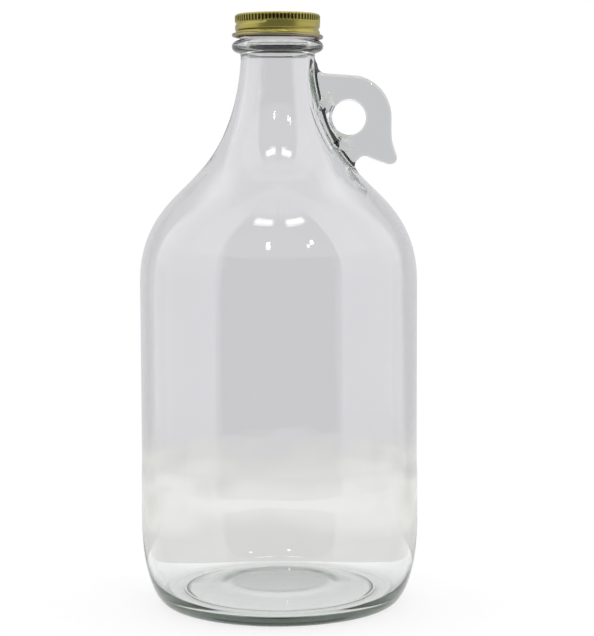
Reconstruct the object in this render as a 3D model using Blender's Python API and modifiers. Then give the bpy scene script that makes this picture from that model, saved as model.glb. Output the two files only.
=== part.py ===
"""A two-litre clear glass jug with a finger loop at its neck, closed by a screw cap of thin metal.

The jug stands on the XY plane with its axis on Z, and its finger loop points along +X.
"""

import math

import bmesh
import bpy
from mathutils import Vector
from mathutils.geometry import interpolate_bezier

MM = 0.001
TURN = 2 * math.pi

# Glass, in millimetres. Radii are from the axis and heights from the table.
BODY_RADIUS = 64.3
PANEL_RADIUS = 64.0
PANEL_BOTTOM, PANEL_TOP = 66.0, 142.0
PANEL_STEP = 6.0
SHOULDER_START = 150.0
SHOULDER_LEAN = 42.0
WAIST_RADIUS, WAIST_HEIGHT = 38.9, 197.4
NECK_RADIUS, NECK_TOP = 16.9, 251.0
NECK_LEAN = 4.0
SHOULDER_PULL = (28.0, 10.7)
NECK_PULL = (4.5, 36.5)
BEAD_RADIUS, BEAD_HEIGHT, BEAD_HALF = 21.0, 257.2, 2.9
FINISH_RADIUS = 17.5
MOUTH_HEIGHT = 271.6
LIP_ROUND = 0.9
BORE_RADIUS = 14.3
WALL = 2.8

# Foot of the glass
HEEL_HEIGHT = 38.0
FOOT_OUTER, FOOT_INNER = 52.0, 43.5
FOOT_STEP = 1.2
DISC_RADIUS, DISC_HEIGHT = 25.7, 3.5
PUNT_HEIGHT = 4.5
FLOOR_EDGE_RADIUS, FLOOR_EDGE_HEIGHT = 47.0, 6.8
FLOOR_CORNER_HEIGHT = 17.0
FLOOR_CENTRE_HEIGHT = 10.0

# Finger loop, drawn in the XZ plane. The spans are in degrees, anticlockwise from +X.
LOOP_X, LOOP_Z = 32.7, 224.8
LOOP_OUTER, LOOP_HOLE = 19.4, 8.0
LOOP_DEPTH, LOOP_ROUND = 11.0, 3.0
LOOP_TOP_ROOT = [(10.0, 256.0), (18.9, 256.0)]
FILLET_X, FILLET_Z, FILLET_ACROSS, FILLET_DOWN = 26.5, 253.0, 7.5, 7.6
FILLET_SPAN = (180, 262)
OUTER_SPAN = (78, 0)
LOOP_FOOT_ROOT = [(24.0, 195.0), (11.0, 225.0)]
SIDE_END = (52.0, 216.0)
SPUR_FLARE = (52.7, 212.4)
SPUR_X, SPUR_Z, SPUR_ROUND = 51.3, 206.3, 3.3
SPUR_SPAN = (20, -105)
NOTCH_X, NOTCH_Z, NOTCH_RADIUS = 40.0, 201.8, 5.05
NOTCH_SPAN = (55, 200)

# Cap of thin metal
SHEET = 0.28
CAP_TOP = 272.2
CAP_RADIUS = 19.55
CAP_CORNER, CORNER_SPAN = 1.3, (90, 20)
KNURL_TOP, KNURL_BOTTOM = 270.7, 268.5
KNURL_COUNT, KNURL_DEPTH = 72, 0.4
SKIRT_INSET, SKIRT_BOTTOM = 0.1, 262.6
SKIRT_ROWS = 7
THREAD_PITCH, THREAD_DEPTH, THREAD_HALF = 3.8, 0.6, 1.1
THREAD_START_HEIGHT, THREAD_START_ANGLE = 267.8, math.radians(255)
THREAD_TURNS = 1.25
CURL_X, CURL_Z, CURL_RADIUS, CURL_SPAN = 19.85, 261.95, 0.8, (160, 360)
CURL_DROP = 0.5

# Facets along each curve, and round the glass
LIP_FACETS, BEAD_FACETS, SWEEP_FACETS, HEEL_FACETS, FLOOR_FACETS = 2, 6, 8, 7, 6
FILLET_FACETS, OUTER_FACETS, SPUR_FACETS, NOTCH_FACETS, HOLE_FACETS = 5, 8, 6, 8, 24
CORNER_FACETS, CURL_FACETS = 2, 4
GLASS_FACETS = 52

# Points this close are one point
WELD = 0.001
NEAR = 0.01

# Edges sharper than these, in degrees, stay sharp
GLASS_SMOOTH, CAP_SMOOTH = 35, 40


def arc(x, z, radius_x, radius_z, span, facets):
    """Points on an ellipse round (x, z), over a span from one angle to another in degrees."""
    start, end = span
    points = []
    for step in range(facets + 1):
        angle = math.radians(start + (end - start) * step / facets)
        points.append((x + radius_x * math.cos(angle), z + radius_z * math.sin(angle)))
    return points


def sweep(start, start_pull, end_pull, end):
    """Points on a cubic curve; each pull is a point that the curve leans towards."""
    knots = [Vector((x, z)) for x, z in (start, start_pull, end_pull, end)]
    return [tuple(point) for point in interpolate_bezier(*knots, SWEEP_FACETS + 1)]


def leaning(point, degrees, distance):
    """The point this far along a line that leans back from upright towards the axis."""
    angle = math.radians(degrees)
    return (point[0] - distance * math.sin(angle), point[1] + distance * math.cos(angle))


def side_of_jug():
    """The outside from the top of the heel up to the bead, in even sweeps."""
    waist = (WAIST_RADIUS, WAIST_HEIGHT)
    neck = (NECK_RADIUS, NECK_TOP)
    shoulder = (PANEL_RADIUS, SHOULDER_START)
    points = [
        (BODY_RADIUS, HEEL_HEIGHT),
        (BODY_RADIUS, PANEL_BOTTOM - PANEL_STEP),
        (PANEL_RADIUS, PANEL_BOTTOM),
        (PANEL_RADIUS, (PANEL_BOTTOM + PANEL_TOP) / 2),
        (PANEL_RADIUS, PANEL_TOP),
    ]
    points += sweep(
        shoulder,
        leaning(shoulder, 0, SHOULDER_PULL[0]),
        leaning(waist, SHOULDER_LEAN, -SHOULDER_PULL[1]),
        waist,
    )
    points += sweep(
        waist,
        leaning(waist, SHOULDER_LEAN, NECK_PULL[0]),
        leaning(neck, NECK_LEAN, -NECK_PULL[1]),
        neck,
    )[1:]
    return points


def moved_inwards(points, distance):
    """The same line, this far inside, measured square to it."""
    moved = []
    last = len(points) - 1
    for index, (x, z) in enumerate(points):
        before = points[max(index - 1, 0)]
        after = points[min(index + 1, last)]
        run, rise = after[0] - before[0], after[1] - before[1]
        length = math.hypot(run, rise)
        moved.append((x - distance * rise / length, z + distance * run / length))
    return moved


def outside_of_jug():
    """The whole outside, from the middle of the mouth down to the middle of the foot."""
    lip = arc(
        FINISH_RADIUS - LIP_ROUND,
        MOUTH_HEIGHT - LIP_ROUND,
        LIP_ROUND,
        LIP_ROUND,
        (90, 0),
        LIP_FACETS,
    )
    bead = arc(
        FINISH_RADIUS, BEAD_HEIGHT, BEAD_RADIUS - FINISH_RADIUS, BEAD_HALF, (90, -90), BEAD_FACETS
    )
    heel = arc(
        FOOT_OUTER, HEEL_HEIGHT, BODY_RADIUS - FOOT_OUTER, HEEL_HEIGHT, (0, -90), HEEL_FACETS
    )[1:]
    foot = [
        (FOOT_INNER, 0),
        (FOOT_INNER - FOOT_STEP, FOOT_STEP),
        (DISC_RADIUS, DISC_HEIGHT),
        (0, PUNT_HEIGHT),
    ]
    return [(0, MOUTH_HEIGHT)] + lip + bead + side_of_jug()[::-1] + heel + foot


def inside_of_jug():
    """The whole inside, from above the mouth down to the middle of the floor."""
    bore = [(0, MOUTH_HEIGHT + WALL), (BORE_RADIUS, MOUTH_HEIGHT + WALL)]
    wall = moved_inwards(side_of_jug(), WALL)
    corner = arc(
        FLOOR_EDGE_RADIUS,
        FLOOR_EDGE_HEIGHT + FLOOR_CORNER_HEIGHT,
        BODY_RADIUS - WALL - FLOOR_EDGE_RADIUS,
        FLOOR_CORNER_HEIGHT,
        (0, -90),
        FLOOR_FACETS,
    )
    return bore + wall[::-1] + corner + [(0, FLOOR_CENTRE_HEIGHT)]


def material(name, colour, roughness, metallic=0.0, transmission=0.0):
    made = bpy.data.materials.new(name)
    made.use_nodes = True
    shader = made.node_tree.nodes["Principled BSDF"]
    shader.inputs["Base Color"].default_value = (*colour, 1)
    shader.inputs["Roughness"].default_value = roughness
    shader.inputs["Metallic"].default_value = metallic
    shader.inputs["Transmission Weight"].default_value = transmission
    return made


def added(name, data, collection):
    made = bpy.data.objects.new(name, data)
    collection.objects.link(made)
    return made


def turned(name, profile, facets, collection):
    """A shape turned on Z from a profile that runs down its outer side."""
    mesh = bpy.data.meshes.new(name)
    points = [(x * MM, 0, z * MM) for x, z in profile]
    edges = [(index, index + 1) for index in range(len(points) - 1)]
    mesh.from_pydata(points, edges, [])
    made = added(name, mesh, collection)
    screw = made.modifiers.new("Turn", "SCREW")
    screw.steps = screw.render_steps = facets
    screw.use_merge_vertices = True
    screw.merge_threshold = NEAR * MM
    return made


def as_mesh(shape, name, collection):
    """A plain mesh object in place of a curve or of an object with modifiers."""
    bpy.context.view_layer.update()
    evaluated = shape.evaluated_get(bpy.context.evaluated_depsgraph_get())
    mesh = bpy.data.meshes.new_from_object(evaluated)
    edit = bmesh.new()
    edit.from_mesh(mesh)
    bmesh.ops.remove_doubles(edit, verts=edit.verts, dist=WELD * MM)
    bmesh.ops.recalc_face_normals(edit, faces=edit.faces)
    edit.to_mesh(mesh)
    edit.free()
    made = added(name, mesh, collection)
    made.matrix_world = shape.matrix_world
    bpy.data.objects.remove(shape)
    return made


def shade_smooth(shape, degrees):
    shape.data.shade_smooth()
    shape.data.set_sharp_from_angle(angle=math.radians(degrees))


def loop_outline():
    """The finger loop's outer edge, clockwise from its root at the top of the neck."""
    fillet = arc(FILLET_X, FILLET_Z, FILLET_ACROSS, FILLET_DOWN, FILLET_SPAN, FILLET_FACETS)
    outer = arc(LOOP_X, LOOP_Z, LOOP_OUTER, LOOP_OUTER, OUTER_SPAN, OUTER_FACETS)
    side = [SIDE_END, SPUR_FLARE]
    spur = arc(SPUR_X, SPUR_Z, SPUR_ROUND, SPUR_ROUND, SPUR_SPAN, SPUR_FACETS)
    notch = arc(NOTCH_X, NOTCH_Z, NOTCH_RADIUS, NOTCH_RADIUS, NOTCH_SPAN, NOTCH_FACETS)
    return LOOP_TOP_ROOT + fillet + outer + side + spur + notch + LOOP_FOOT_ROOT


def make_loop(collection):
    """The finger loop with its round hole and pointed spur, rooted through the wall."""
    hole = arc(LOOP_X, LOOP_Z, LOOP_HOLE, LOOP_HOLE, (0, 360), HOLE_FACETS)[:-1]
    curve = bpy.data.curves.new("finger_loop_outline", "CURVE")
    curve.dimensions = "2D"
    curve.fill_mode = "BOTH"
    curve.bevel_depth = LOOP_ROUND * MM
    curve.bevel_resolution = 1
    curve.offset = -LOOP_ROUND * MM
    curve.extrude = (LOOP_DEPTH / 2 - LOOP_ROUND) * MM
    for points in (loop_outline(), hole):
        spline = curve.splines.new("POLY")
        spline.points.add(len(points) - 1)
        for point, (x, z) in zip(spline.points, points):
            point.co = (x * MM, z * MM, 0, 1)
        spline.use_cyclic_u = True
    shape = added("finger_loop_outline", curve, collection)
    shape.rotation_euler.x = math.pi / 2
    loop = as_mesh(shape, "finger_loop", collection)
    loop.hide_render = True
    loop.display_type = "WIRE"
    return loop


def join(target, other, operation):
    boolean = target.modifiers.new(other.name, "BOOLEAN")
    boolean.operation = operation
    boolean.object = other


def make_jug(parts, cutters):
    """One piece of glass: the turned body, the finger loop joined on, the inside cut out."""
    jug = turned("bottle", outside_of_jug(), GLASS_FACETS, parts)
    cavity = turned("inside", inside_of_jug(), GLASS_FACETS, cutters)
    cavity.hide_render = True
    cavity.display_type = "WIRE"
    join(jug, make_loop(cutters), "UNION")
    join(jug, cavity, "DIFFERENCE")
    jug.data.materials.append(material("clear_glass", (0.93, 0.97, 0.95), 0.03, transmission=1.0))
    shade_smooth(jug, GLASS_SMOOTH)
    return jug


def cap_profile():
    """The cap's sheet, from the middle of its top down to its curled edge."""
    corner = arc(
        CAP_RADIUS - CAP_CORNER,
        CAP_TOP - CAP_CORNER,
        CAP_CORNER,
        CAP_CORNER,
        CORNER_SPAN,
        CORNER_FACETS,
    )
    fall = (KNURL_BOTTOM - SKIRT_BOTTOM) / SKIRT_ROWS
    skirt = [(CAP_RADIUS - SKIRT_INSET, KNURL_BOTTOM - row * fall) for row in range(1, SKIRT_ROWS)]
    curl = arc(CURL_X, CURL_Z, CURL_RADIUS, CURL_RADIUS, CURL_SPAN, CURL_FACETS)
    knurled = [(CAP_RADIUS, KNURL_TOP), (CAP_RADIUS, KNURL_BOTTOM)]
    return [(0, CAP_TOP)] + corner + knurled + skirt + curl


def thread_pull(angle, height):
    """How far the rolled thread pulls the skirt in here. It falls clockwise, seen from above."""
    clockwise = (THREAD_START_ANGLE - angle) % TURN / TURN
    deepest = 0.0
    for turn in (clockwise, clockwise + 1):
        if turn <= THREAD_TURNS:
            distance = abs(height - (THREAD_START_HEIGHT - turn * THREAD_PITCH))
            deepest = max(deepest, 1 - (distance / THREAD_HALF) ** 2)
    return deepest * THREAD_DEPTH


def form_cap_sheet(mesh):
    """Presses in the knurls and the thread. The curled edge drops a little on the loop's side."""
    edit = bmesh.new()
    edit.from_mesh(mesh)
    band = (KNURL_TOP * MM, KNURL_BOTTOM * MM)
    near = NEAR * MM
    around = [
        edge
        for edge in edit.edges
        if any(all(abs(vert.co.z - height) < near for vert in edge.verts) for height in band)
    ]
    bmesh.ops.subdivide_edges(edit, edges=around, cuts=1)
    for vert in edit.verts:
        angle = math.atan2(vert.co.y, vert.co.x) % TURN
        height = vert.co.z / MM
        radius = vert.co.xy.length / MM
        if any(abs(vert.co.z - level) < near for level in band):
            valley = round(angle / TURN * KNURL_COUNT * 2) % 2
            radius = CAP_RADIUS - valley * KNURL_DEPTH
        elif SKIRT_BOTTOM < height < KNURL_BOTTOM:
            radius -= thread_pull(angle, height)
        if height < KNURL_BOTTOM:
            share = (KNURL_BOTTOM - height) / (KNURL_BOTTOM - CURL_Z)
            vert.co.z -= CURL_DROP * MM * share * math.cos(angle)
        vert.co.xy = (radius * MM * math.cos(angle), radius * MM * math.sin(angle))
    edit.to_mesh(mesh)
    edit.free()


def make_cap(parts):
    sheet = turned("cap_sheet", cap_profile(), KNURL_COUNT, parts)
    cap = as_mesh(sheet, "cap", parts)
    form_cap_sheet(cap.data)
    wall = cap.modifiers.new("Sheet", "SOLIDIFY")
    wall.thickness = SHEET * MM
    wall.offset = -1
    cap.data.materials.append(material("gold_lacquered_metal", (0.45, 0.40, 0.14), 0.35, metallic=1.0))
    shade_smooth(cap, CAP_SMOOTH)
    return cap


def main():
    for old in list(bpy.data.objects):
        bpy.data.objects.remove(old)
    parts = bpy.data.collections.new("glass_jug")
    cutters = bpy.data.collections.new("cutters")
    for collection in (parts, cutters):
        bpy.context.scene.collection.children.link(collection)
    make_jug(parts, cutters)
    make_cap(parts)


main()
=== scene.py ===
"""A two-litre clear glass jug with a finger loop and a gold screw cap, and its studio.

Laid out as an add-on: property groups hold the sizes and colours, one operator makes each piece,
and a panel in the sidebar lists them. The jug stands on the XY plane with its axis on Z.
"""

import math

import bmesh
import bpy
import numpy as np
from bpy.props import FloatProperty, FloatVectorProperty, IntProperty, PointerProperty
from bpy.types import Operator, Panel, PropertyGroup
from mathutils import Euler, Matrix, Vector
from mathutils.geometry import interpolate_bezier


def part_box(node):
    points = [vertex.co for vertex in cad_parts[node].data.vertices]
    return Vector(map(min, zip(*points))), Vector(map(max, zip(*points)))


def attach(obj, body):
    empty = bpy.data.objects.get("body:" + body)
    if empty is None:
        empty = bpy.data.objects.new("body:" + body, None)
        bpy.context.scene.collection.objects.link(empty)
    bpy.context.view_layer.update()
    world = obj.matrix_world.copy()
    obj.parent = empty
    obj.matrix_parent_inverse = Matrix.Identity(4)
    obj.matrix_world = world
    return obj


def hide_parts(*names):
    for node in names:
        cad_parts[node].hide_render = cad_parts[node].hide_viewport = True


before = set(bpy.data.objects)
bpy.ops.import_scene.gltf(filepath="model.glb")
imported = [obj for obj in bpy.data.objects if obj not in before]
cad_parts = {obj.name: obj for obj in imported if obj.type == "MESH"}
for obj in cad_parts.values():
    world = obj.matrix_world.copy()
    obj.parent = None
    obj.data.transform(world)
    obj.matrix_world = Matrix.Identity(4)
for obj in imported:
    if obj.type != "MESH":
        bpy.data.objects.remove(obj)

bl_info = {
    "name": "Clear glass jug",
    "version": (1, 0, 0),
    "blender": (4, 5, 0),
    "location": "View3D > Sidebar > Jug",
    "description": "Makes a clear glass jug with a finger loop and a gold screw cap, and its studio",
    "category": "Add Mesh",
}

MM = 0.001
TURN = 2 * math.pi
WHITE = (1, 1, 1, 1)
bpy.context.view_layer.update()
GLASS_TOP_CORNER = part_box("bottle")[1]
CAP_TOP_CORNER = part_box("cap")[1]


def length(name, about, size):
    """A length setting. Its size is written in millimetres and kept in metres."""
    return FloatProperty(name=name, description=about, default=size * MM, unit="LENGTH", precision=5)


def degrees(name, about, angle):
    """An angle setting, written in degrees and kept in radians."""
    return FloatProperty(name=name, description=about, default=math.radians(angle), unit="ROTATION")


def factor(name, about, value, low=0.0, high=1.0):
    return FloatProperty(name=name, description=about, default=value, min=low, max=high)


def colour(name, about, value):
    return FloatVectorProperty(
        name=name, description=about, default=value, size=3, min=0, max=1, subtype="COLOR"
    )


class JugGlassSettings(PropertyGroup):
    """Sizes of the glass, from the table and the axis, and its colour."""

    body_radius: FloatProperty(
        name="Body radius",
        description="Widest radius, above the heel",
        default=GLASS_TOP_CORNER.x,
        unit="LENGTH",
        precision=5,
    )
    mouth_height: FloatProperty(
        name="Mouth height",
        description="Height of the lip under the cap",
        default=GLASS_TOP_CORNER.z,
        unit="LENGTH",
        precision=5,
    )
    panel_radius: length("Panel radius", "Radius of the plain side wall", 64.0)
    panel_bottom: length("Panel bottom", "Where the plain side wall starts", 66.0)
    panel_step: length("Panel step", "Height over which the wall narrows to the panel", 6.0)
    panel_top: length("Panel top", "Where the plain side wall ends", 142.0)
    shoulder_start: length("Shoulder start", "Height at which the shoulder leaves upright", 150.0)
    shoulder_pull: length("Shoulder pull", "How long the shoulder stays near upright", 28.0)
    waist_radius: length("Waist radius", "Radius where shoulder and neck sweeps meet", 38.9)
    waist_height: length("Waist height", "Height where shoulder and neck sweeps meet", 197.4)
    waist_lean: degrees("Waist lean", "Lean of the wall from upright at the waist", 42.0)
    waist_pull_below: length("Waist pull below", "Straightness below the waist", 10.7)
    waist_pull_above: length("Waist pull above", "Straightness above the waist", 4.5)
    neck_radius: length("Neck radius", "Radius of the neck under the bead", 16.9)
    neck_top: length("Neck top", "Height where the neck reaches the bead's corner", 251.0)
    neck_lean: degrees("Neck lean", "Lean of the neck from upright at its top", 4.0)
    neck_pull: length("Neck pull", "How long the neck stays near upright", 36.5)
    bead_radius: length("Bead radius", "Radius of the bead under the cap", 21.0)
    bead_height: length("Bead height", "Height of the middle of the bead", 257.2)
    bead_half: length("Bead half height", "Half of the bead's height", 2.9)
    finish_radius: length("Finish radius", "Radius of the glass that the cap goes over", 17.5)
    bore_radius: length("Bore radius", "Radius of the mouth", 14.3)
    lip_round: length("Lip round", "Rounding of the lip", 0.9)
    wall: length("Wall", "Thickness of the glass wall", 2.8)
    heel_height: length("Heel height", "Height of the rounded heel", 38.0)
    foot_outer: length("Foot outer radius", "Outer radius of the ring it stands on", 52.0)
    foot_inner: length("Foot inner radius", "Inner radius of the ring it stands on", 43.5)
    foot_step: length("Foot step", "Rise from the standing ring to the push-up", 1.2)
    disc_radius: length("Disc radius", "Radius of the round flat in the push-up", 25.7)
    disc_height: length("Disc height", "Height of the round flat in the push-up", 3.5)
    punt_height: length("Punt height", "Height of the middle of the push-up", 4.5)
    floor_edge_radius: length("Floor edge radius", "Radius at which the inner floor starts to rise", 52.0)
    floor_edge_height: length("Floor edge height", "Height of the inner floor at its edge", 5.7)
    floor_corner_height: length("Floor corner height", "Height of the inner corner's round", 32.3)
    floor_centre_height: length("Floor centre height", "Height of the inner floor at its middle", 9.5)
    floor_flat_radius: length("Floor flat radius", "Radius within which the inner floor is flat", 22.0)
    ripple: length("Ripple", "How far the blown inner wall strays from even", 0.7)
    ripple_size: length("Ripple size", "Width of one ripple of the inner wall", 45.0)
    side_thinning: length("Side thinning", "How much thinner the wall is at its two mould seams", 0.5)
    side_width: degrees("Side width", "How far round from a mould seam the wall is thinner", 14)
    stipple: length("Stipple", "Depth of the grip marks under the standing ring", 0.08)
    facets: IntProperty(name="Facets", description="Facets round the glass", default=224, min=32)
    tint: colour("Tint", "What the glass lets through where it is thick", (0.60, 0.655, 0.605))
    tint_strength: factor("Tint strength", "Absorption for each metre of glass", 50.0, 0, 100)
    frost_radius: length("Frost radius", "Radius of the faintly frosted round under the floor", 23.0)
    frost: factor("Frost", "Roughness of that round", 0.3)


class JugLoopSettings(PropertyGroup):
    """Sizes of the finger loop, which lies in the XZ plane on the jug's +X side."""

    centre: FloatVectorProperty(
        name="Centre",
        description="Middle of the finger hole",
        default=(32.7 * MM, 0, 224.8 * MM),
        unit="LENGTH",
        precision=5,
    )
    outer: length("Outer radius", "Radius of the loop's outer edge", 19.4)
    hole: length("Hole radius", "Radius of the finger hole", 8.0)
    depth: length("Depth", "Thickness of the loop from face to face", 11.0)
    edge_round: length("Edge round", "Rounding of the loop's edges", 2.0)
    fillet_x: length("Fillet X", "Middle of the hollow between neck and loop", 22.4)
    fillet_z: length("Fillet Z", "Middle of the hollow between neck and loop", 249.0)
    fillet_across: length("Fillet across", "Half width of that hollow", 4.4)
    fillet_down: length("Fillet down", "Depth of that hollow", 4.2)
    side_x: length("Side X", "Foot of the loop's straight outer side", 52.0)
    side_z: length("Side Z", "Foot of the loop's straight outer side", 216.0)
    flare_x: length("Flare X", "Where the side flares out to the spur", 52.7)
    flare_z: length("Flare Z", "Where the side flares out to the spur", 212.4)
    spur_x: length("Spur X", "Middle of the spur's round tip", 51.3)
    spur_z: length("Spur Z", "Middle of the spur's round tip", 206.3)
    spur_round: length("Spur round", "Radius of the spur's round tip", 3.3)
    notch_x: length("Notch X", "Middle of the hollow under the loop", 40.0)
    notch_z: length("Notch Z", "Middle of the hollow under the loop", 201.8)
    notch_radius: length("Notch radius", "Radius of the hollow under the loop", 5.05)
    blend: length("Blend", "How far the loop flows into the neck", 2.5)
    flare: length("Flare", "How much thicker the loop is at the neck, on each face", 6.0)
    flare_reach: length("Flare reach", "How far from the neck the loop starts to thicken", 6.5)
    flare_flat: length("Flare flat", "How far from the neck the thickening is whole", 0.5)
    flare_inner: length("Flare inner", "How far from the hole's middle the thickening is whole", 12.5)
    flare_outer: length("Flare outer", "How far from the hole's middle the thickening ends", 15.5)
    root_top: length("Root top", "Height near which the loop's root is thinnest", 249.0)
    top_half_depth: length("Top half depth", "Half of the loop's depth at the top of its root", 2.5)
    hole_round: length("Hole round", "Rounding of the finger hole's edges", 1.3)
    dish: length("Dish", "Radius of the dish round the finger hole, at the loop's face", 9.3)
    dish_flare: factor("Dish flare", "Growth of the dish's radius out from the face", 1.4, 0, 2)
    dish_round: length("Dish round", "Rounding of the dish's rim", 1.2)
    lower_seam: length("Lower seam", "Height at which the formed neck joins the turned body", 191.0)
    voxel: length("Grain", "Size of the net laid over neck and loop", 0.68)


class JugCapSettings(PropertyGroup):
    """Sizes and colours of the cap, pressed from thin lacquered metal."""

    top: FloatProperty(
        name="Top",
        description="Height of the top of the cap",
        default=CAP_TOP_CORNER.z,
        unit="LENGTH",
        precision=5,
    )
    sheet: length("Sheet", "Thickness of the metal", 0.28)
    radius: length("Radius", "Radius of the cap's side", 19.55)
    corner: length("Corner", "Rounding of the top edge", 1.3)
    rim_drop: length("Rim drop", "How much lower the rim of the top is than its raised middle", 0.4)
    knurl_top: length("Knurl top", "Where the grip slots start", 270.7)
    knurl_bottom: length("Knurl bottom", "Where the grip slots end", 268.3)
    knurl_width: length("Knurl width", "Width of one grip slot", 0.85)
    knurl_depth: length("Knurl depth", "Depth of one grip slot", 0.6)
    knurls: IntProperty(name="Knurls", description="Grip slots round the cap", default=72, min=8)
    skirt_bottom: length("Skirt bottom", "Where the skirt turns into the curled edge", 262.4)
    thread_high: length("Thread high end", "Height where the rolled thread starts", 267.8)
    thread_fall: length("Thread fall", "How far the thread falls over its run", 4.25)
    thread_depth: length("Thread depth", "How far the thread is rolled in", 0.6)
    thread_half: length("Thread half width", "Half of the thread's width", 1.15)
    thread_start: degrees("Thread start", "Where the thread starts, anticlockwise from +X", 257)
    thread_turns: factor("Thread turns", "Length of the thread in turns", 1.25, 0, 3)
    curl_x: length("Curl X", "Middle of the curled edge", 20.05)
    curl_z: length("Curl Z", "Middle of the curled edge", 261.9)
    curl_round: length("Curl round", "Radius of the curled edge", 0.6)
    curl_drop: length("Curl drop", "How far the edge drops on the loop's side", 0.5)
    steps: IntProperty(name="Steps", description="Steps round each grip slot", default=8, min=4)
    lacquer: colour("Lacquer", "Colour of the gold lacquer", (0.380, 0.338, 0.090))
    inside: colour("Inside", "Colour of the lacquer inside the cap", (0.06, 0.06, 0.06))
    # Painted shade: a dark colour that stands in for the shadow deep in the grip slots
    painted_slot_shade: colour("Painted slot shade", "Colour of the shade painted into the grip slots", (0.05, 0.042, 0.012))
    bare_edge: colour("Bare edge", "Colour of the metal at the curled edge", (0.28, 0.235, 0.16))


class JugStudioSettings(PropertyGroup):
    """The camera, the table and the light."""

    eye: FloatVectorProperty(
        name="Eye", description="Where the camera stands", default=(0, -0.84249, 0.20455), unit="LENGTH"
    )
    lens: factor("Lens", "Focal length in millimetres", 103.1, 10, 500)
    pan: degrees("Pan", "Turn of the camera away from straight on", -0.573)
    dip: degrees("Dip", "How far the camera looks down", 4.9)
    roll: degrees("Roll", "Tilt of the camera about its own line of sight", -0.218)
    table_back: length("Table back", "Where the table ends behind the jug", 60)
    table_radius: length("Table radius", "Radius of the table's round front", 410)
    table_grey: factor("Table grey", "How much light the table's paint gives back", 0.25)
    table_glow: factor("Table glow", "How much light the table gives off", 0.75)


def settings(part):
    """The property group of this name."""
    return getattr(bpy.context.scene, part)


def deselect():
    """Leaves edit mode with nothing selected, so that the next operator meets its own piece alone."""
    if bpy.context.object and bpy.context.object.mode != "OBJECT":
        bpy.ops.object.mode_set(mode="OBJECT")
    bpy.ops.object.select_all(action="DESELECT")


def choose(piece):
    """Makes this piece the only selected one, and the active one."""
    deselect()
    piece.select_set(True)
    bpy.context.view_layer.objects.active = piece


def edit(piece):
    choose(piece)
    bpy.ops.object.mode_set(mode="EDIT")


def leave_edit():
    bpy.ops.object.mode_set(mode="OBJECT")


def start_line(name, start):
    """A new piece of one point, in edit mode, ready to be drawn on from."""
    deselect()
    bpy.ops.mesh.primitive_plane_add(size=MM, location=(0, 0, 0))
    piece = bpy.context.object
    piece.name = piece.data.name = name
    bpy.ops.object.mode_set(mode="EDIT")
    bpy.ops.mesh.select_all(action="SELECT")
    bpy.ops.mesh.merge(type="CENTER")
    bpy.ops.transform.translate(value=start)
    return piece


def draw_line(name, outline):
    """A new piece, drawn point by point in the XZ plane by extruding its last point."""
    points = [Vector((x, 0, z)) for x, z in outline]
    piece = start_line(name, points[0])
    for before, after in zip(points, points[1:]):
        bpy.ops.mesh.extrude_vertices_move(TRANSFORM_OT_translate={"value": after - before})
    return piece


def spin_whole(facets):
    """Spins the line that is being drawn a whole turn round Z, and closes its seam and poles."""
    bpy.ops.mesh.select_all(action="SELECT")
    bpy.ops.mesh.spin(steps=facets, angle=TURN, center=(0, 0, 0), axis=(0, 0, 1))
    bpy.ops.mesh.select_all(action="SELECT")
    bpy.ops.mesh.remove_doubles(threshold=0.01 * MM)


def face_outwards():
    """Turns the faces of the closed shell that is being edited outwards."""
    bpy.ops.mesh.select_all(action="SELECT")
    bpy.ops.mesh.normals_make_consistent(inside=False)


def join(pieces):
    choose(pieces[0])
    for piece in pieces[1:]:
        piece.select_set(True)
    bpy.ops.object.join()
    return pieces[0]


def apply_modifier(piece, kind, **values):
    choose(piece)
    modifier = piece.modifiers.new(kind.title(), kind)
    for name, value in values.items():
        setattr(modifier, name, value)
    bpy.ops.object.modifier_apply(modifier=modifier.name)


def vertex_places(piece):
    places = np.empty(len(piece.data.vertices) * 3)
    piece.data.vertices.foreach_get("co", places)
    return places.reshape(-1, 3)


def move_vertices(piece, places):
    piece.data.vertices.foreach_set("co", places.ravel())
    piece.data.update()


def smooth_step(low, high, value):
    """Goes smoothly from 0, where the value is low, to 1 where it is high."""
    share = np.clip((value - low) / (high - low), 0, 1)
    return share * share * (3 - 2 * share)


def arc(centre, radii, span, facets):
    """Points on an ellipse, over a span from one angle to another in degrees."""
    angles = np.radians(np.linspace(*span, facets + 1))
    return [
        (centre[0] + radii[0] * math.cos(angle), centre[1] + radii[1] * math.sin(angle))
        for angle in angles
    ]


def sweep(start, start_pull, end_pull, end, facets):
    """Points on a cubic curve; each pull is a point that the curve leans towards."""
    knots = [Vector((x, z)) for x, z in (start, start_pull, end_pull, end)]
    return [tuple(point) for point in interpolate_bezier(*knots, facets + 1)]


def leaning(point, angle, distance):
    """The point this far along a line that leans back from upright towards the axis."""
    return (point[0] - distance * math.sin(angle), point[1] + distance * math.cos(angle))


def softened(points, rounds, closed=False):
    """The same line with its corners cut off again and again, which leaves a smooth curve."""
    for _ in range(rounds):
        ahead = points[1:] + points[:1] if closed else points[1:]
        cut = []
        for (x0, z0), (x1, z1) in zip(points, ahead):
            cut.append((0.75 * x0 + 0.25 * x1, 0.75 * z0 + 0.25 * z1))
            cut.append((0.25 * x0 + 0.75 * x1, 0.25 * z0 + 0.75 * z1))
        points = cut if closed else [points[0]] + cut + [points[-1]]
    return points


def moved_inwards(points, distance):
    """The same line, this far inside, measured square to it."""
    line = np.array(points)
    along = np.gradient(line, axis=0)
    along /= np.linalg.norm(along, axis=1)[:, None]
    return [tuple(point) for point in line + distance * np.column_stack([-along[:, 1], along[:, 0]])]


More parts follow.
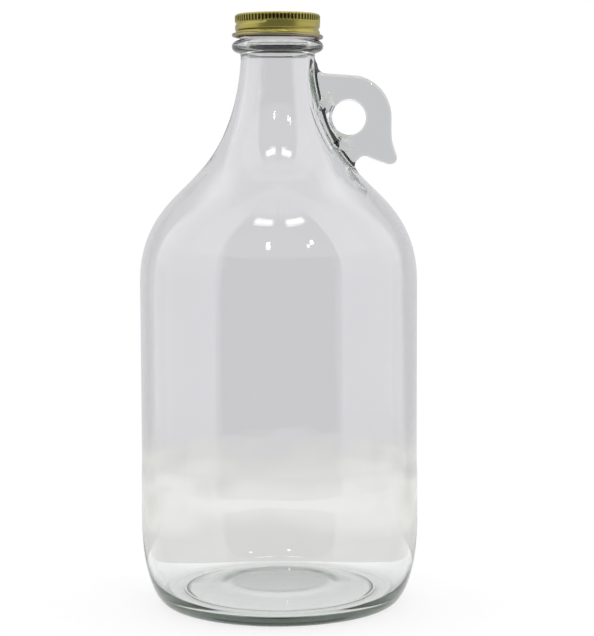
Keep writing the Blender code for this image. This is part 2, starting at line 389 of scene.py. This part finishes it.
def side_of_jug(glass):
    """The outside from the top of the heel up to the top of the neck, in even sweeps."""
    shoulder = (glass.panel_radius, glass.shoulder_start)
    waist = (glass.waist_radius, glass.waist_height)
    neck = (glass.neck_radius, glass.neck_top)
    wall = [
        (glass.body_radius, glass.heel_height + 8 * MM),
        (glass.body_radius, glass.panel_bottom - 1.5 * glass.panel_step),
        (glass.body_radius, glass.panel_bottom - glass.panel_step),
        (glass.panel_radius, glass.panel_bottom),
        (glass.panel_radius, glass.panel_bottom + glass.panel_step / 2),
        (glass.panel_radius, glass.panel_top),
    ]
    shoulder_sweep = sweep(
        shoulder,
        leaning(shoulder, 0, glass.shoulder_pull),
        leaning(waist, glass.waist_lean, -glass.waist_pull_below),
        waist,
        facets=16,
    )
    neck_sweep = sweep(
        waist,
        leaning(waist, glass.waist_lean, glass.waist_pull_above),
        leaning(neck, glass.neck_lean, -glass.neck_pull),
        neck,
        facets=20,
    )
    return softened(wall, rounds=1) + shoulder_sweep + neck_sweep[1:]


def bead_and_finish(glass):
    """The outside from just above the neck, round the bead, to the lip."""
    corner = [
        (glass.neck_radius + 0.20 * MM, glass.bead_height - glass.bead_half - 1.0 * MM),
        (glass.neck_radius + 0.45 * MM, glass.bead_height - glass.bead_half - 0.15 * MM),
    ]
    bead = arc(
        (glass.finish_radius, glass.bead_height),
        (glass.bead_radius - glass.finish_radius, glass.bead_half),
        (-75, 80),
        facets=22,
    )
    finish = [
        (glass.finish_radius, glass.bead_height + glass.bead_half),
        (glass.finish_radius, glass.bead_height + glass.bead_half + 1.2 * MM),
        (glass.finish_radius, glass.mouth_height - 2 * glass.lip_round),
    ]
    lip_centre = (glass.finish_radius - glass.lip_round, glass.mouth_height - glass.lip_round)
    lip = arc(lip_centre, (glass.lip_round, glass.lip_round), (0, 90), facets=5)
    return softened(corner + bead + finish, rounds=1) + lip


def foot_and_heel(glass):
    """The outside from the middle of the push-up, over the standing ring, to the top of the heel."""
    inner, step = glass.foot_inner, glass.foot_step
    push_up = [
        (0, glass.punt_height),
        (glass.disc_radius - 5 * MM, glass.punt_height - 0.1 * MM),
        (glass.disc_radius - 1 * MM, glass.disc_height + 0.6 * MM),
        (glass.disc_radius + 1 * MM, glass.disc_height),
        (glass.disc_radius + 8 * MM, 0.55 * glass.disc_height + 0.55 * glass.foot_step),
        (inner - 2.5 * step, 1.25 * step),
        (inner - step, step),
        (inner - 0.3 * step, 0.25 * step),
        (inner, 0),
        (inner + 0.8 * MM, 0),
    ]
    ring = [(inner + share * (glass.foot_outer - inner), 0) for share in np.linspace(0.15, 0.95, 8)]
    heel = arc(
        (glass.foot_outer, glass.heel_height),
        (glass.body_radius - glass.foot_outer, glass.heel_height),
        (-90, 0),
        facets=18,
    )
    return softened(push_up, rounds=1) + ring + heel


def inside_of_jug(glass):
    """The whole inside, from the lip down to the middle of the floor."""
    mouth = arc(
        (glass.bore_radius + glass.lip_round, glass.mouth_height - glass.lip_round),
        (glass.lip_round, glass.lip_round),
        (90, 180),
        facets=4,
    )
    bore = [
        (glass.bore_radius, glass.mouth_height - 3 * MM),
        (glass.bore_radius, glass.neck_top + 6 * MM),
    ]
    wall = moved_inwards(side_of_jug(glass), glass.wall)[::-1]
    corner = arc(
        (glass.floor_edge_radius, glass.floor_edge_height + glass.floor_corner_height),
        (glass.body_radius - glass.wall - glass.floor_edge_radius, glass.floor_corner_height),
        (0, -90),
        facets=16,
    )
    radii = np.linspace(0.96, 0, 25) * glass.floor_edge_radius
    share = smooth_step(glass.floor_edge_radius, glass.floor_flat_radius, radii)
    rise = glass.floor_centre_height - glass.floor_edge_height
    floor = list(zip(radii, glass.floor_edge_height + rise * share))
    return mouth + bore + wall + corner + floor


def loop_outline(loop):
    """The finger loop's outer edge, clockwise from its root at the top of the neck.

    Its first and last points lie inside the neck, so that the two shapes overlap.
    """
    top_root = [(8 * MM, 250.5 * MM), (16.6 * MM, 250.5 * MM)]
    hollow = (loop.fillet_across, loop.fillet_down)
    fillet = arc((loop.fillet_x, loop.fillet_z), hollow, (180, 262), facets=8)
    outer = arc((loop.centre[0], loop.centre[2]), (loop.outer, loop.outer), (78, 0), facets=12)
    side = [(loop.side_x, loop.side_z), (loop.flare_x, loop.flare_z)]
    tip = (loop.spur_round, loop.spur_round)
    spur = arc((loop.spur_x, loop.spur_z), tip, (20, -105), facets=9)
    bite = (loop.notch_radius, loop.notch_radius)
    notch = arc((loop.notch_x, loop.notch_z), bite, (55, 200), facets=12)
    foot_root = [(24 * MM, 195 * MM), (11 * MM, 225 * MM)]
    return top_root + softened(fillet + outer + side + spur + notch, rounds=2) + foot_root


def gap_to_segments(points, start, end):
    """How far each point of the plane is from its own segment."""
    along = end - start
    reach = points - start
    share = np.clip((reach * along).sum(axis=-1) / (along ** 2).sum(axis=-1), 0, 1)
    return np.linalg.norm(reach - share[..., None] * along, axis=-1)


def distance_to_wall(points, line):
    """Signed distance to a line that only rises, among the segments near each point's height."""
    below = np.searchsorted(line[:, 1], points[:, 1])
    nearest = np.full(len(points), np.inf)
    for step in range(-8, 8):
        first = np.clip(below + step, 0, len(line) - 2)
        nearest = np.minimum(nearest, gap_to_segments(points, line[first], line[first + 1]))
    nearest[points[:, 0] < np.interp(points[:, 1], line[:, 1], line[:, 0])] *= -1
    return nearest


def distance_to_outline(points, line):
    """Signed distance to a closed line.

    A point is inside if an odd number of edges lie to its right.
    """
    nearest = np.full(len(points), np.inf)
    inside = np.zeros(len(points), bool)
    for start, end in zip(line[:-1], line[1:]):
        nearest = np.minimum(nearest, gap_to_segments(points, start, end))
        if start[1] != end[1]:
            crosses = (points[:, 1] > min(start[1], end[1])) & (points[:, 1] <= max(start[1], end[1]))
            edge_x = start[0] + (points[:, 1] - start[1]) * (end[0] - start[0]) / (end[1] - start[1])
            inside ^= crosses & (points[:, 0] < edge_x)
    nearest[inside] *= -1
    return nearest


def softly_larger(first, second, blend):
    """The larger of two distances, with the crease between them rounded over the blend."""
    overlap = np.maximum(blend - np.abs(first - second), 0)
    return np.maximum(first, second) + overlap ** 2 / (4 * blend)


class NeckAndLoop:
    """The true surface of the neck with the finger loop flowing out of it, as a signed distance."""

    # How much faster the dish narrows inside the loop than its distance from the face grows
    dish_floor = 40
    # How far apart two places are taken when the surface's slope is measured
    slope_step = 0.02 * MM

    def __init__(self, glass, loop):
        self.loop = loop
        self.wall = np.array(side_of_jug(glass) + bead_and_finish(glass))
        self.outline = np.array(loop_outline(loop) + loop_outline(loop)[:1])

    def distance(self, places):
        loop = self.loop
        radius = np.hypot(places[:, 0], places[:, 1])
        body = distance_to_wall(np.column_stack([radius, places[:, 2]]), self.wall)
        near = (places[:, 0] > 0) & (np.abs(places[:, 1]) < loop.depth / 2 + 2 * loop.blend)
        finger_loop = self.distance_to_loop(places[near], body[near])
        joined = -softly_larger(-body[near], -finger_loop, loop.blend)
        body[near] = softly_larger(joined, self.distance_to_dish(places[near]), loop.dish_round)
        return body

    def distance_to_dish(self, places):
        """Positive inside the dish that widens from the finger hole on both faces of the loop."""
        loop = self.loop
        away = np.hypot(places[:, 0] - loop.centre[0], places[:, 2] - loop.centre[2])
        beyond_face = np.abs(places[:, 1]) - loop.depth / 2
        wide = loop.dish + loop.dish_flare * beyond_face
        wide += self.dish_floor * np.minimum(beyond_face, 0)
        return (wide - away) / math.hypot(1, loop.dish_flare)

    def distance_to_loop(self, places, from_neck):
        loop = self.loop
        flat = places[:, [0, 2]]
        away = np.hypot(*(flat - (loop.centre[0], loop.centre[2])).T)
        outline = distance_to_outline(flat, self.outline)
        at_hole = loop.hole - away > outline
        rim = np.where(at_hole, loop.hole - away, outline)
        edge_round = np.where(at_hole, loop.hole_round, loop.edge_round)

        flare = loop.flare * smooth_step(loop.flare_reach, loop.flare_flat, from_neck)
        flare *= smooth_step(loop.flare_outer, loop.flare_inner, away)
        thinner = smooth_step(loop.root_top - 6 * MM, loop.root_top + 2 * MM, places[:, 2])
        half_depth = loop.depth / 2 + flare - (loop.depth / 2 - loop.top_half_depth) * thinner

        out = rim + edge_round
        aside = np.abs(places[:, 1]) - half_depth + edge_round
        rounded = np.hypot(np.maximum(out, 0), np.maximum(aside, 0))
        return rounded + np.minimum(np.maximum(out, aside), 0) - edge_round

    def slope(self, places, here):
        step = self.slope_step
        return np.column_stack([
            (self.distance(places + step * axis) - here) / step for axis in np.eye(3)
        ])

    def settle(self, places, rounds):
        """Moves the places onto the surface, a little nearer in each round."""
        for _ in range(rounds):
            here = self.distance(places)
            slope = self.slope(places, here)
            places = places - here[:, None] * slope / (slope ** 2).sum(axis=1)[:, None]
        return places


def turned_glass(glass, loop):
    """The turned parts of the glass: all but the outside of the neck, where the loop grows."""
    below = [point for point in side_of_jug(glass) if point[1] < loop.lower_seam]
    lower = foot_and_heel(glass) + below + [level_point(side_of_jug(glass), loop.lower_seam)]
    bead = bead_and_finish(glass)
    above = [point for point in bead if point[1] > glass.bead_height]
    upper = [level_point(bead, glass.bead_height)] + above + inside_of_jug(glass)
    shells = []
    for name, line in (("glass_below", lower), ("glass_above", upper)):
        shells.append(draw_line(name, line))
        spin_whole(glass.facets)
        leave_edit()
    return join(shells)


def level_point(line, height):
    """Where a line that only rises passes a height."""
    return (float(np.interp(height, [z for _, z in line], [x for x, _ in line])), height)


def neck_net(glass, loop):
    """A fine net over the outside of neck and loop, settled on their true surface."""
    margin, gap, weld = 6 * MM, 0.4 * MM, 0.25 * loop.voxel
    outside = side_of_jug(glass) + bead_and_finish(glass)
    low, high = loop.lower_seam - margin, glass.bead_height + margin
    band = [point for point in outside if low < point[1] < high]
    collar = draw_line("glass_neck", [(0, band[0][1])] + band + [(0, band[-1][1])])
    spin_whole(glass.facets // 2)
    face_outwards()
    leave_edit()

    blank = draw_line("loop_blank", loop_outline(loop))
    bpy.ops.mesh.select_all(action="SELECT")
    bpy.ops.mesh.edge_face_add()
    bpy.ops.transform.translate(value=(0, -loop.depth / 2, 0))
    bpy.ops.mesh.extrude_region_move(TRANSFORM_OT_translate={"value": (0, loop.depth, 0)})
    face_outwards()
    leave_edit()
    deselect()
    bpy.ops.mesh.primitive_cylinder_add(
        vertices=64,
        radius=loop.hole,
        depth=2 * loop.depth,
        location=loop.centre,
        rotation=(math.pi / 2, 0, 0),
    )
    finger = bpy.context.object
    apply_modifier(blank, "BOOLEAN", operation="DIFFERENCE", object=finger)
    bpy.data.objects.remove(finger)

    net = join([collar, blank])
    apply_modifier(net, "REMESH", mode="VOXEL", voxel_size=loop.voxel)
    trim(net, loop.lower_seam - MM, glass.bead_height + MM, weld)
    move_vertices(net, NeckAndLoop(glass, loop).settle(vertex_places(net), rounds=4))
    trim(net, loop.lower_seam + gap, glass.bead_height - gap, weld)
    return net


def trim(piece, low, high, weld):
    """Cuts away what lies below and above two heights, and welds close points along the cuts."""
    edit(piece)
    for height, up in ((low, -1), (high, 1)):
        bpy.ops.mesh.select_all(action="SELECT")
        bpy.ops.mesh.bisect(
            plane_co=(0, 0, height), plane_no=(0, 0, up), clear_outer=True, threshold=0.001 * MM
        )
        bpy.ops.mesh.remove_doubles(threshold=weld)
    leave_edit()


def zip_rims(piece, height):
    """Closes the gap between the turned rim at this height and the net's rim beside it."""
    shape = bmesh.new()
    shape.from_mesh(piece.data)
    open_points = {point for edge in shape.edges if edge.is_boundary for point in edge.verts}
    rims = [[], []]
    for point in open_points:
        away = abs(point.co.z - height)
        if away < MM:
            rims[away > 0.1 * MM].append((math.atan2(point.co.y, point.co.x), point))
    for rim in rims:
        rim.sort(key=lambda entry: entry[0])
        rim.append((rim[0][0] + TURN, rim[0][1]))
    turned, net = rims
    here, there = 0, 0
    while here < len(turned) - 1 or there < len(net) - 1:
        last_here = here == len(turned) - 1
        last_there = there == len(net) - 1
        if last_there or (not last_here and turned[here + 1][0] <= net[there + 1][0]):
            corners = (turned[here][1], turned[here + 1][1], net[there][1])
            here += 1
        else:
            corners = (turned[here][1], net[there + 1][1], net[there][1])
            there += 1
        shape.faces.new(corners)
    shape.to_mesh(piece.data)
    shape.free()


def stipple_foot(piece, glass):
    """Presses staggered rows of small grip marks into the ring that the jug stands on."""
    rows = 8.75
    places = vertex_places(piece)
    radius = np.hypot(places[:, 0], places[:, 1])
    ring = (radius > glass.foot_inner + MM) & (radius < glass.foot_outer - MM)
    ring &= places[:, 2] < 0.01 * MM
    row = np.round(radius / (glass.foot_outer - glass.foot_inner) * rows).astype(int)
    step = np.round(np.arctan2(places[:, 1], places[:, 0]) / TURN * glass.facets).astype(int)
    places[ring & ((row + step) % 2 == 0), 2] = glass.stipple
    move_vertices(piece, places)


def ripple_inside(piece, glass):
    """Lets the blown inner wall stray a little from even, and thins it at the mould seams."""
    places = vertex_places(piece)
    height = places[:, 2]
    radius = np.hypot(places[:, 0], places[:, 1])
    wall = np.array(side_of_jug(glass))
    outside = np.interp(height, wall[:, 1], wall[:, 0])
    above_heel = np.clip((height - glass.heel_height) / (12 * MM), 0, 1)
    below_bead = np.clip((glass.neck_top - height) / (25 * MM), 0, 1)
    inner = (radius < outside - 0.6 * glass.wall) * above_heel * below_bead
    group = piece.vertex_groups.new(name="blown_wall")
    for index in np.nonzero(inner)[0]:
        group.add([int(index)], float(inner[index]), "REPLACE")

    from_seam = np.arctan2(np.abs(places[:, 1]), np.abs(places[:, 0]))
    on_body = smooth_step(glass.waist_height + 8 * MM, glass.waist_height - 8 * MM, height)
    thinner = glass.side_thinning * np.exp(-((from_seam / glass.side_width) ** 2)) * on_body
    places[:, :2] *= (1 + thinner * inner / np.maximum(radius, MM))[:, None]
    move_vertices(piece, places)

    clouds = bpy.data.textures.new("blown_ripple", "CLOUDS")
    clouds.noise_scale = glass.ripple_size
    apply_modifier(
        piece,
        "DISPLACE",
        texture=clouds,
        texture_coords="LOCAL",
        vertex_group=group.name,
        mid_level=0.5,
        strength=glass.ripple,
    )


def require_closed(piece):
    """Stops with an error where the piece isn't one closed shell."""
    shape = bmesh.new()
    shape.from_mesh(piece.data)
    faulty = sum(not edge.is_manifold for edge in shape.edges)
    shape.free()
    if faulty:
        raise RuntimeError(f"{piece.name} has {faulty} edges without just two faces")


def new_material(name):
    """A new material, with its node tree and its main shader."""
    material = bpy.data.materials.new(name)
    material.use_nodes = True
    return material, material.node_tree, material.node_tree.nodes["Principled BSDF"]


def set_inputs(tree, node, inputs):
    """Gives each input a value, or links it where it is given another node's output."""
    for name, value in inputs.items():
        if isinstance(value, bpy.types.NodeSocket):
            tree.links.new(value, node.inputs[name])
        else:
            node.inputs[name].default_value = value


def add_node(tree, kind, inputs, **properties):
    node = tree.nodes.new("ShaderNode" + kind)
    for name, value in properties.items():
        setattr(node, name, value)
    set_inputs(tree, node, inputs)
    return node


def calculate(tree, operation, *values):
    return add_node(tree, "Math", dict(enumerate(values)), operation=operation).outputs[0]


def fade(tree, value, start, end, full=1.0):
    """Goes smoothly from nothing, where the value is at the start, to full at the end."""
    inputs = {"Value": value, "From Min": start, "From Max": end, "To Max": full}
    return add_node(tree, "MapRange", inputs, interpolation_type="SMOOTHSTEP").outputs["Result"]


def blend_colours(tree, share, first, second, label=""):
    """Goes from the first colour to the second as the share goes from 0 to 1."""
    first_colour, second_colour, result = 6, 7, 2
    inputs = {"Factor": share, first_colour: first, second_colour: second}
    return add_node(tree, "Mix", inputs, data_type="RGBA", label=label).outputs[result]


def add_bump(tree, shader, height, strength, distance):
    inputs = {"Height": height, "Strength": strength, "Distance": distance}
    set_inputs(tree, shader, {"Normal": add_node(tree, "Bump", inputs).outputs["Normal"]})


def object_place(tree):
    return add_node(tree, "TexCoord", {}).outputs["Object"]


def height_of(tree, place):
    return add_node(tree, "SeparateXYZ", {0: place}).outputs["Z"]


def distance_from_axis(tree, place):
    across = add_node(tree, "VectorMath", {0: place, 1: (1, 1, 0)}, operation="MULTIPLY")
    away = add_node(tree, "VectorMath", {0: across.outputs[0]}, operation="LENGTH")
    return away.outputs["Value"]


def clear_glass(glass):
    """Clear glass, green where it is thick, softly rippled, with a frosted round under the floor."""
    material, tree, shader = new_material("clear_glass")
    set_inputs(tree, shader, {"Base Color": WHITE, "IOR": 1.52, "Transmission Weight": 1.0})
    tint = {"Color": (*glass.tint, 1), "Density": glass.tint_strength}
    absorption = add_node(tree, "VolumeAbsorption", tint)
    set_inputs(tree, tree.nodes["Material Output"], {"Volume": absorption.outputs[0]})

    place = object_place(tree)
    ripple = add_node(tree, "TexNoise", {"Vector": place, "Scale": 60, "Detail": 1})
    add_bump(tree, shader, ripple.outputs["Fac"], strength=0.15, distance=0.3 * MM)

    edge = 2 * MM
    away = distance_from_axis(tree, place)
    middle = fade(tree, away, glass.frost_radius + edge, glass.frost_radius - edge, glass.frost)
    push_up = glass.punt_height + 0.5 * MM
    underneath = calculate(tree, "LESS_THAN", height_of(tree, place), push_up)
    set_inputs(tree, shader, {"Roughness": calculate(tree, "MULTIPLY", middle, underneath)})
    return material


def cap_profile(cap):
    """The cap's sheet, from the middle of its top down to the end of its curled edge."""
    rim = cap.top - cap.rim_drop
    middle = [(share * cap.radius, cap.top) for share in (0, 0.3, 0.55, 0.66, 0.68)]
    lower_rim = [(share * cap.radius, rim) for share in (0.71, 0.73, 0.85)]
    corner_centre = (cap.radius - cap.corner, rim - cap.corner)
    corner = arc(corner_centre, (cap.corner, cap.corner), (90, 10), facets=7)
    levels = [
        *np.linspace(cap.knurl_top + 0.1 * MM, cap.knurl_bottom - 0.2 * MM, 14),
        *np.linspace(cap.knurl_bottom - 0.45 * MM, cap.skirt_bottom, 22),
    ]
    side = [(cap.radius, level) for level in levels]
    curl = arc((cap.curl_x, cap.curl_z), (cap.curl_round, cap.curl_round), (165, 470), facets=16)
    return middle + lower_rim + corner + side + curl


def press_cap_sheet(piece, cap):
    """Presses in the grip slots and the rolled thread, and lets the edge drop on the loop's side."""
    places = vertex_places(piece)
    angle = np.arctan2(places[:, 1], places[:, 0]) % TURN
    radius = np.hypot(places[:, 0], places[:, 1])
    height = places[:, 2].copy()
    side = (radius > cap.radius - 0.4 * MM) & (height > cap.skirt_bottom + 0.1 * MM)

    pitch = TURN / cap.knurls
    aside = ((angle + pitch / 2) % pitch - pitch / 2) * cap.radius
    half = cap.knurl_width / 2
    below = np.maximum(cap.knurl_bottom + half - height, 0)
    above = np.maximum(height - cap.knurl_top, 0)
    edge = np.hypot(aside, below + above) - half
    slot = smooth_step(0.25 * MM, -0.25 * MM, edge) * cap.knurl_depth

    clockwise = (cap.thread_start - angle) % TURN / TURN
    thread = np.zeros(len(places))
    for turn in (clockwise, clockwise + 1):
        run = np.clip(turn / cap.thread_turns, 0, 1)
        level = cap.thread_high - cap.thread_fall * smooth_step(0, 0.96, run)
        groove = smooth_step(cap.thread_half, 0, np.abs(height - level))
        ends = smooth_step(0, 0.02, turn) * smooth_step(cap.thread_turns, cap.thread_turns - 0.06, turn)
        thread = np.maximum(thread, groove * ends)
    bulge = smooth_step(cap.knurl_bottom - 0.2 * MM, cap.knurl_bottom - 1.0 * MM, height) * 0.1 * MM
    radius = np.where(side, radius - slot - thread * cap.thread_depth - bulge, radius)

    share = np.clip((cap.knurl_bottom - height) / (cap.knurl_bottom - cap.curl_z), 0, 1.3)
    places[:, 2] -= cap.curl_drop * share * np.cos(angle)
    places[:, 0] = radius * np.cos(angle)
    places[:, 1] = radius * np.sin(angle)
    move_vertices(piece, places)


def gold_lacquer(cap):
    """Satin gold lacquer over bright metal, browner along the curled edge, with painted shade darkening
    the deep grip slots.
    """
    material, tree, shader = new_material("gold_lacquer")
    set_inputs(tree, shader, {"Metallic": 1.0, "Coat Weight": 0.05, "Coat Roughness": 0.2})
    place = object_place(tree)
    height = height_of(tree, place)

    at_edge = fade(tree, height, cap.skirt_bottom + 0.2 * MM, cap.skirt_bottom - 0.5 * MM)
    metal = blend_colours(tree, at_edge, (*cap.lacquer, 1), (*cap.bare_edge, 1))
    # Painted shade: the deepest parts of the grip slots are darkened, standing in for their shadow
    away = distance_from_axis(tree, place)
    deep = fade(tree, away, cap.radius - 0.1 * MM, cap.radius - 0.9 * cap.knurl_depth)
    slot_middle = (cap.knurl_top + cap.knurl_bottom) / 2
    slot_reach = (cap.knurl_top - cap.knurl_bottom) / 2 + 0.1 * MM
    among_slots = calculate(tree, "COMPARE", height, slot_middle, slot_reach)
    shaded_slot_mask = calculate(tree, "MULTIPLY", deep, among_slots)
    with_slot_shade = blend_colours(tree, shaded_slot_mask, metal, (*cap.painted_slot_shade, 1))

    grain = add_node(tree, "TexNoise", {"Vector": place, "Scale": 900, "Detail": 3}).outputs["Fac"]
    sheen = add_node(tree, "MapRange", {"Value": grain, "To Min": 0.25, "To Max": 0.38})
    set_inputs(tree, shader, {"Base Color": with_slot_shade, "Roughness": sheen.outputs["Result"]})
    add_bump(tree, shader, grain, strength=0.2, distance=0.03 * MM)
    return material


def inner_lacquer(cap):
    """The dark grey lacquer inside the cap, with the fine grain of the sheet under it."""
    material, tree, shader = new_material("inner_lacquer")
    grain = add_node(tree, "TexNoise", {"Vector": object_place(tree), "Scale": 900}).outputs["Fac"]
    darker, lighter = [(*(share * channel for channel in cap.inside), 1) for share in (0.8, 1.2)]
    tone = blend_colours(tree, grain, darker, lighter)
    set_inputs(tree, shader, {"Base Color": tone, "Roughness": 0.45})
    return material


def finish_piece(piece, node):
    """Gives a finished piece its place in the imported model."""
    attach(piece, "root")
    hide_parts(node)


class JUG_OT_glass(Operator):
    """Turn the body, form the neck with its finger loop, and join them into one piece of glass"""

    bl_idname = "jug.glass"
    bl_label = "Glass"
    bl_options = {"REGISTER", "UNDO"}

    def execute(self, context):
        glass, loop = settings("jug_glass"), settings("jug_loop")
        turned = turned_glass(glass, loop)
        net = neck_net(glass, loop)
        jug = join([turned, net])
        jug.name = jug.data.name = "jug_glass"
        zip_rims(jug, loop.lower_seam)
        zip_rims(jug, glass.bead_height)
        edit(jug)
        face_outwards()
        leave_edit()
        stipple_foot(jug, glass)
        ripple_inside(jug, glass)
        require_closed(jug)
        choose(jug)
        bpy.ops.object.shade_smooth()
        jug.data.materials.append(clear_glass(glass))
        finish_piece(jug, "bottle")
        return {"FINISHED"}


class JUG_OT_cap(Operator):
    """Press the screw cap from one thin sheet of metal"""

    bl_idname = "jug.cap"
    bl_label = "Cap"
    bl_options = {"REGISTER", "UNDO"}

    def execute(self, context):
        cap = settings("jug_cap")
        piece = draw_line("jug_cap", cap_profile(cap))
        spin_whole(cap.knurls * cap.steps)
        face_outwards()
        leave_edit()
        press_cap_sheet(piece, cap)
        piece.data.materials.clear()
        piece.data.materials.append(gold_lacquer(cap))
        piece.data.materials.append(inner_lacquer(cap))
        apply_modifier(piece, "SOLIDIFY", thickness=cap.sheet, offset=-1, material_offset=1)
        for face in piece.data.polygons:
            if face.center.z < cap.skirt_bottom + 0.3 * MM:
                face.material_index = 0
        require_closed(piece)
        choose(piece)
        bpy.ops.object.shade_smooth_by_angle(angle=math.radians(50))
        finish_piece(piece, "cap")
        return {"FINISHED"}


def direction_mask(tree, direction, middle, half, soft):
    """A soft-edged patch of the world, round a middle azimuth and elevation in degrees."""
    masks = []
    for value, centre, reach, edge in zip(direction, middle, half, soft):
        offset = calculate(tree, "SUBTRACT", value, math.radians(centre))
        away = calculate(tree, "ABSOLUTE", offset)
        masks.append(fade(tree, away, math.radians(reach + edge), math.radians(reach - edge)))
    return calculate(tree, "MULTIPLY", *masks)


COOL = (1.0, 0.98, 1.03)
WARM = (1.02, 1.0, 0.985)
SOFTBOXES = [
    # Name, then in degrees of azimuth and elevation the middle, half size and soft edge,
    # then brightness and tone. Azimuth 0 is behind the jug, and 180 is behind the camera.
    ("backdrop", (0, 10), (56, 34), (3, 3), 0.725, COOL),
    ("left bank", (-91, 28), (36, 38), (1.5, 3), 1.03, COOL),
    ("right bank", (91, 28), (36, 38), (1.5, 3), 0.99, COOL),
    ("left bank top", (-91, 44), (36, 34), (1.5, 12), 1.4, COOL),
    ("right bank top", (91, 44), (36, 34), (1.5, 12), 1.4, COOL),
    ("rear overhead", (0, 58), (60, 16), (8, 9), 1.7, COOL),
    ("ceiling", (0, 90), (180, 22), (5, 8), 1.2, COOL),
    ("sweep", (0, -35), (130, 26), (5, 0.9), 0.74, WARM),
    ("sweep bend", (0, -10.7), (130, 1.0), (5, 1.0), 0.89, WARM),
    ("left lamp", (-158, 64), (14, 2.5), (4, 1), 7.0, WARM),
    ("right lamp", (154, 64), (14, 2.5), (4, 1), 7.0, WARM),
    ("left spot", (-170, 39), (1.5, 2.2), (0.5, 0.5), 30.0, WARM),
    ("right spot", (147, 39), (1.5, 2.2), (0.5, 0.5), 30.0, WARM),
]
ROOM = (0.3, 0.3, 0.3, 1)


def studio_world():
    """White for the camera, and for the glass a grey backdrop, two side banks and a dark room."""
    world = bpy.data.worlds.new("studio")
    bpy.context.scene.world = world
    world.use_nodes = True
    tree = world.node_tree
    place = add_node(tree, "TexCoord", {}).outputs["Generated"]
    split = add_node(tree, "SeparateXYZ", {0: place})
    azimuth = calculate(tree, "ARCTAN2", split.outputs["X"], split.outputs["Y"])
    elevation = calculate(tree, "ARCSINE", split.outputs["Z"])
    light = ROOM
    for name, middle, half, soft, brightness, tone in SOFTBOXES:
        mask = direction_mask(tree, (azimuth, elevation), middle, half, soft)
        glow = (*(brightness * channel for channel in tone), 1)
        light = blend_colours(tree, mask, light, glow, label=name)
    to_camera = add_node(tree, "LightPath", {}).outputs["Is Camera Ray"]
    seen = blend_colours(tree, to_camera, light, WHITE)
    set_inputs(tree, tree.nodes["Background"], {"Color": seen, "Strength": 1.0})


def pale_paint(studio):
    """Matt pale paint that gives off a little light of its own."""
    material, tree, shader = new_material("pale_table")
    set_inputs(tree, shader, {
        "Base Color": (*[studio.table_grey] * 3, 1),
        "Roughness": 0.9,
        "Specular IOR Level": 0.1,
        "Emission Color": WHITE,
        "Emission Strength": studio.table_glow,
    })
    return material


class JUG_OT_studio(Operator):
    """Set the table, the camera and the light"""

    bl_idname = "jug.studio"
    bl_label = "Studio"
    bl_options = {"REGISTER", "UNDO"}

    def execute(self, context):
        studio = settings("jug_studio")
        deselect()
        bpy.ops.mesh.primitive_circle_add(vertices=128, radius=studio.table_radius, fill_type="NGON")
        table = context.object
        table.name = table.data.name = "table"
        edit(table)
        bpy.ops.mesh.select_all(action="SELECT")
        bpy.ops.mesh.bisect(
            plane_co=(0, studio.table_back, 0),
            plane_no=(0, 1, 0),
            clear_outer=True,
            threshold=0.001 * MM,
        )
        leave_edit()
        table.data.materials.append(pale_paint(studio))

        bpy.ops.object.camera_add(location=studio.eye)
        camera = context.object
        camera.name = "camera"
        level = Euler((math.pi / 2 - studio.dip, 0, studio.pan)).to_matrix()
        camera.rotation_euler = (level @ Euler((0, 0, studio.roll)).to_matrix()).to_euler()
        camera.data.lens = studio.lens
        camera.data.sensor_width = 36
        context.scene.camera = camera

        studio_world()
        context.scene.view_settings.view_transform = "Standard"
        # Light goes to and fro many times in the thick glass of loop, bead and heel
        context.scene.cycles.max_bounces = 24
        context.scene.cycles.transmission_bounces = 24
        context.scene.cycles.glossy_bounces = 12
        return {"FINISHED"}


class JUG_PT_parts(Panel):
    """Lists the pieces of the jug"""

    bl_idname = "JUG_PT_parts"
    bl_label = "Jug"
    bl_space_type = "VIEW_3D"
    bl_region_type = "UI"
    bl_category = "Jug"

    def draw(self, context):
        for operator in (JUG_OT_glass, JUG_OT_cap, JUG_OT_studio):
            self.layout.operator(operator.bl_idname)


SETTINGS = {
    "jug_glass": JugGlassSettings,
    "jug_loop": JugLoopSettings,
    "jug_cap": JugCapSettings,
    "jug_studio": JugStudioSettings,
}
OPERATORS = (JUG_OT_glass, JUG_OT_cap, JUG_OT_studio)


def register():
    for name, group in SETTINGS.items():
        bpy.utils.register_class(group)
        setattr(bpy.types.Scene, name, PointerProperty(type=group))
    for shown in OPERATORS + (JUG_PT_parts,):
        bpy.utils.register_class(shown)


def unregister():
    for shown in reversed(OPERATORS + (JUG_PT_parts,)):
        bpy.utils.unregister_class(shown)
    for name, group in reversed(SETTINGS.items()):
        delattr(bpy.types.Scene, name)
        bpy.utils.unregister_class(group)


def main():
    register()
    bpy.ops.jug.glass()
    bpy.ops.jug.cap()
    bpy.ops.jug.studio()


if __name__ == "__main__":
    main()
